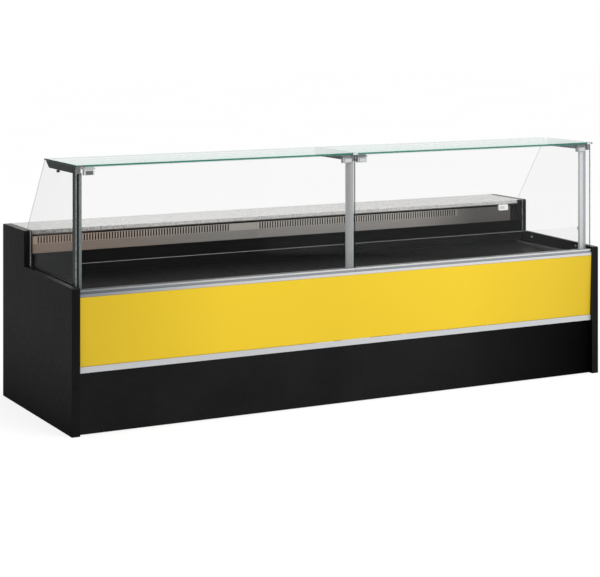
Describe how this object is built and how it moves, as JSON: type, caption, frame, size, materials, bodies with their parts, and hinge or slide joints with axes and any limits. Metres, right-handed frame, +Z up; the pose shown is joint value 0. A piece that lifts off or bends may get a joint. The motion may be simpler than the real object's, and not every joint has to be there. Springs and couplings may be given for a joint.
{
  "type": "refrigerated deli case",
  "caption": "Serve-over refrigerated deli case with tilting front glass, glass top and sides, insulated display well, granite worktop, coloured front panel and black end panels.",
  "frame": {"origin": "on the floor, in the middle of the case's plan outline", "axes": "+X along the counter to the customer's right, -Y towards the customer, +Z up"},
  "size_m": [3, 0.985, 1.24],
  "materials": {
    "black_end_panel": "satin",
    "black_kick": "satin",
    "yellow_front": "satin",
    "anodised_profile": "satin",
    "clear_glass": "polished",
    "black_clamp": "satin",
    "dark_arm": "satin",
    "bright_clip": "satin",
    "steel_screw": "satin",
    "stainless": "satin",
    "galvanised": "satin",
    "black_sheet": "satin",
    "granite": "polished",
    "white_plastic": "satin",
    "black_plastic": "satin",
    "foam": "matte",
    "rubber_seal": "matte",
    "copper_pipe": "satin",
    "compressor_black": "gloss",
    "pvc_grey": "matte",
    "cable_black": "matte"
  },
  "bodies": {
    "case": {"air_deflector_glass": "clear_glass", "arm_knob": "black_plastic", "base_frame": "galvanised", "catch_blocks": "anodised_profile", "clamp_screws": "steel_screw", "compressor": "compressor_black", "condenser_coil": "anodised_profile", "condenser_fan_mount": "galvanised", "control_panel": "black_plastic", "deck_supports": "stainless", "deflector_clips": "bright_clip", "drain_pipe": "pvc_grey", "end_panel_left": "black_end_panel", "end_panel_right": "black_end_panel", "evaporator_coil": "anodised_profile", "evaporator_fan_mount": "stainless", "front_panel": "yellow_front", "glass_edge_clips": "bright_clip", "kick_panel": "black_kick", "levelling_feet": "galvanised", "lower_front_profile": "anodised_profile", "power_cord": "cable_black", "rear_duct_panel": "black_sheet", "rear_panel": "stainless", "refrigerant_pipes": "copper_pipe", "return_air_grille": "black_sheet", "riser_panel_left": "stainless", "riser_panel_right": "stainless", "side_glass_clamps": "black_clamp", "side_glass_left": "clear_glass", "side_glass_right": "clear_glass", "storage_cabinet": "stainless", "support_arms": "dark_arm", "thermometer": "white_plastic", "top_glass_left": "clear_glass", "top_glass_right": "clear_glass", "tub_insulation": "foam", "tub_liner": "stainless", "unit_grille": "black_sheet", "upper_front_profile": "anodised_profile", "uprights": "anodised_profile", "worktop_slab": "granite"},
    "window_left": {"front_glass_left": "clear_glass", "hinge_profile_left": "anodised_profile", "strikers_left": "bright_clip"},
    "window_right": {"front_glass_right": "clear_glass", "hinge_profile_right": "anodised_profile", "strikers_right": "bright_clip"},
    "deck_left": {"display_deck_1": "black_sheet"},
    "deck_middle": {"display_deck_2": "black_sheet"},
    "deck_right": {"display_deck_3": "black_sheet"},
    "store_door_left": {"storage_door_1": "stainless", "door_gasket_1": "rubber_seal"},
    "store_door_right": {"storage_door_2": "stainless", "door_gasket_2": "rubber_seal"},
    "well_fan_left": {"evaporator_fan_1": "black_plastic"},
    "well_fan_right": {"evaporator_fan_2": "black_plastic"},
    "cooling_fan": {"condenser_fan": "black_plastic"},
    "push_button": {"set_button": "pvc_grey"},
    "rocker": {"main_switch": "black_plastic"}
  },
  "joints": [
    {"name": "window_left_tilt", "type": "hinge", "parent": "case", "child": "window_left", "pos_m": [-0.73, -0.4775, 0.652], "axis": [1, 0, 0], "range_deg": [0, 50]},
    {"name": "window_right_tilt", "type": "hinge", "parent": "case", "child": "window_right", "pos_m": [0.73, -0.4775, 0.652], "axis": [1, 0, 0], "range_deg": [0, 50]},
    {"name": "deck_left_lift", "type": "slide", "parent": "case", "child": "deck_left", "axis": [0, 0, 1], "range_m": [0, 0.06]},
    {"name": "deck_middle_lift", "type": "slide", "parent": "case", "child": "deck_middle", "axis": [0, 0, 1], "range_m": [0, 0.06]},
    {"name": "deck_right_lift", "type": "slide", "parent": "case", "child": "deck_right", "axis": [0, 0, 1], "range_m": [0, 0.06]},
    {"name": "store_door_left_swing", "type": "hinge", "parent": "case", "child": "store_door_left", "pos_m": [-1.428, 0.4745, 0.268], "axis": [0, 0, 1], "range_deg": [0, 105]},
    {"name": "store_door_right_swing", "type": "hinge", "parent": "case", "child": "store_door_right", "pos_m": [-0.012, 0.4745, 0.268], "axis": [0, 0, -1], "range_deg": [0, 105]},
    {"name": "well_fan_left_spin", "type": "hinge", "parent": "case", "child": "well_fan_left", "pos_m": [-0.6, -0.1945, 0.536], "axis": [0, 1, 0], "continuous": true},
    {"name": "well_fan_right_spin", "type": "hinge", "parent": "case", "child": "well_fan_right", "pos_m": [0.6, -0.1945, 0.536], "axis": [0, 1, 0], "continuous": true},
    {"name": "cooling_fan_spin", "type": "hinge", "parent": "case", "child": "cooling_fan", "pos_m": [1.1, 0.3205, 0.252], "axis": [0, 1, 0], "continuous": true},
    {"name": "button_press", "type": "slide", "parent": "case", "child": "push_button", "axis": [0, -1, 0], "range_m": [0, 0.002]},
    {"name": "rocker_tilt", "type": "hinge", "parent": "case", "child": "rocker", "pos_m": [1.18, 0.4835, 0.75], "axis": [1, 0, 0], "range_deg": [-8, 8]}
  ]
}
